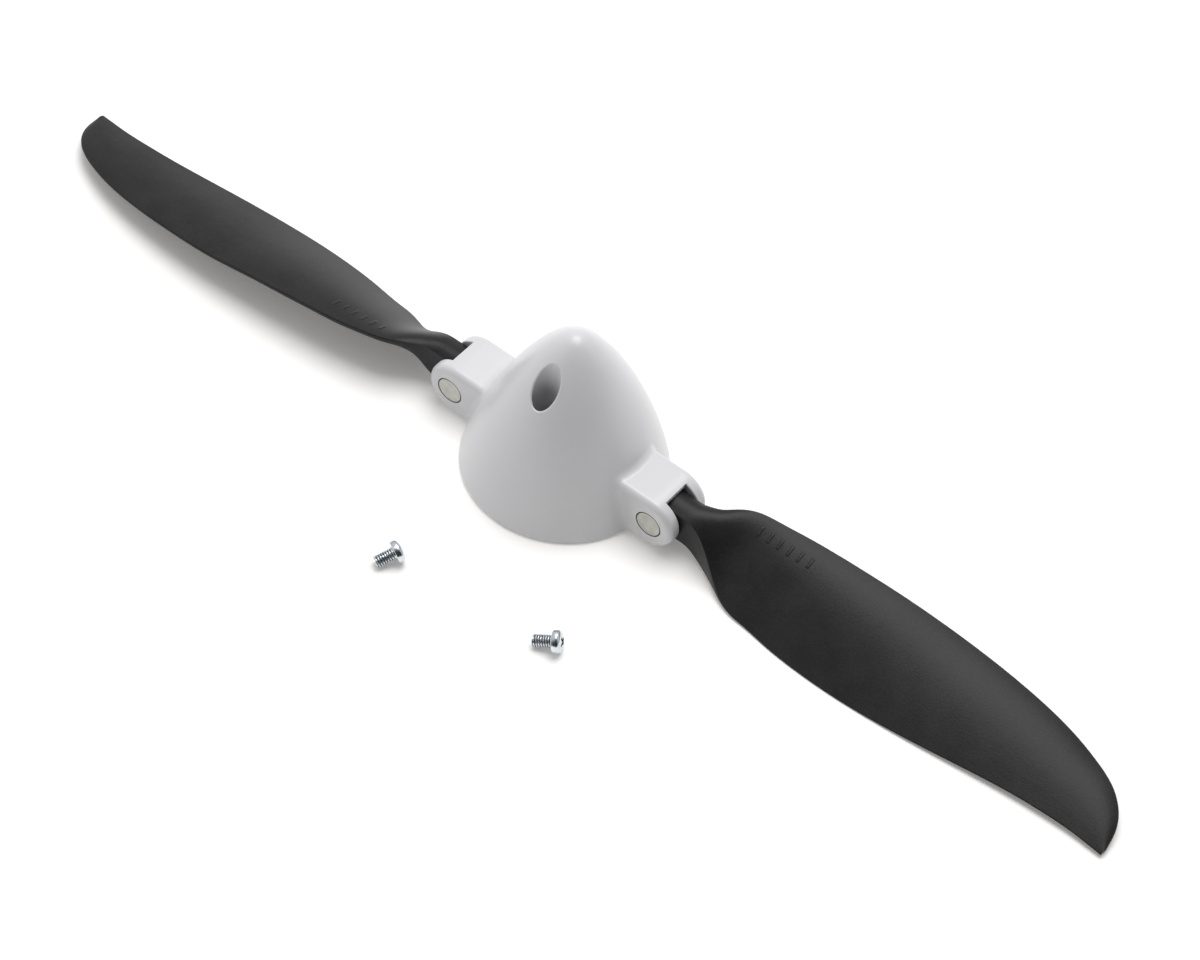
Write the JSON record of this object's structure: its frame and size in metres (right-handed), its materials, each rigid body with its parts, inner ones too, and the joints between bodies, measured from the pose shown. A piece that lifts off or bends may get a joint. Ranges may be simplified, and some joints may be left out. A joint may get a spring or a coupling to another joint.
{
  "type": "folding propeller",
  "caption": "Folding propeller for a motor glider: an ogive spinner with forked arms, and twisted blades hinged on steel pins so that they fold back in a glide, with its loose fixing screws.",
  "frame": {"origin": "centre of the spinner's back face, on the spin axis, level with the surface that it stands on", "axes": "+Z along the spin axis towards the nose, +X along blade_a with the blades open, -Y towards the loose screws"},
  "size_m": [0.2412, 0.0602, 0.0348],
  "materials": {
    "spinner_plastic": "semi-gloss white moulded nylon",
    "blade_plastic": "satin black glass-filled nylon",
    "pin_steel": "turned steel, dull",
    "screw_zinc": "bright zinc plating"
  },
  "bodies": {
    "spinner": {"spinner": "spinner_plastic", "hinge_pin_a": "pin_steel", "hinge_pin_b": "pin_steel"},
    "blade_a": {"blade_a": "blade_plastic"},
    "blade_b": {"blade_b": "blade_plastic"},
    "screw_a": {"screw_a": "screw_zinc"},
    "screw_b": {"screw_b": "screw_zinc"}
  },
  "joints": [
    {"name": "blade_a_fold", "type": "hinge", "parent": "spinner", "child": "blade_a", "pos_m": [0.0229, 0, 0.0062], "axis": [0, 1, 0], "range_deg": [0, 90]},
    {"name": "blade_b_fold", "type": "hinge", "parent": "spinner", "child": "blade_b", "pos_m": [-0.0229, 0, 0.0062], "axis": [0, -1, 0], "range_deg": [0, 90]},
    {"name": "screw_a_lift", "type": "slide", "parent": "spinner", "child": "screw_a", "axis": [0, 0, 1], "range_m": [0, 0.03]},
    {"name": "screw_b_lift", "type": "slide", "parent": "spinner", "child": "screw_b", "axis": [0, 0, 1], "range_m": [0, 0.03]}
  ]
}
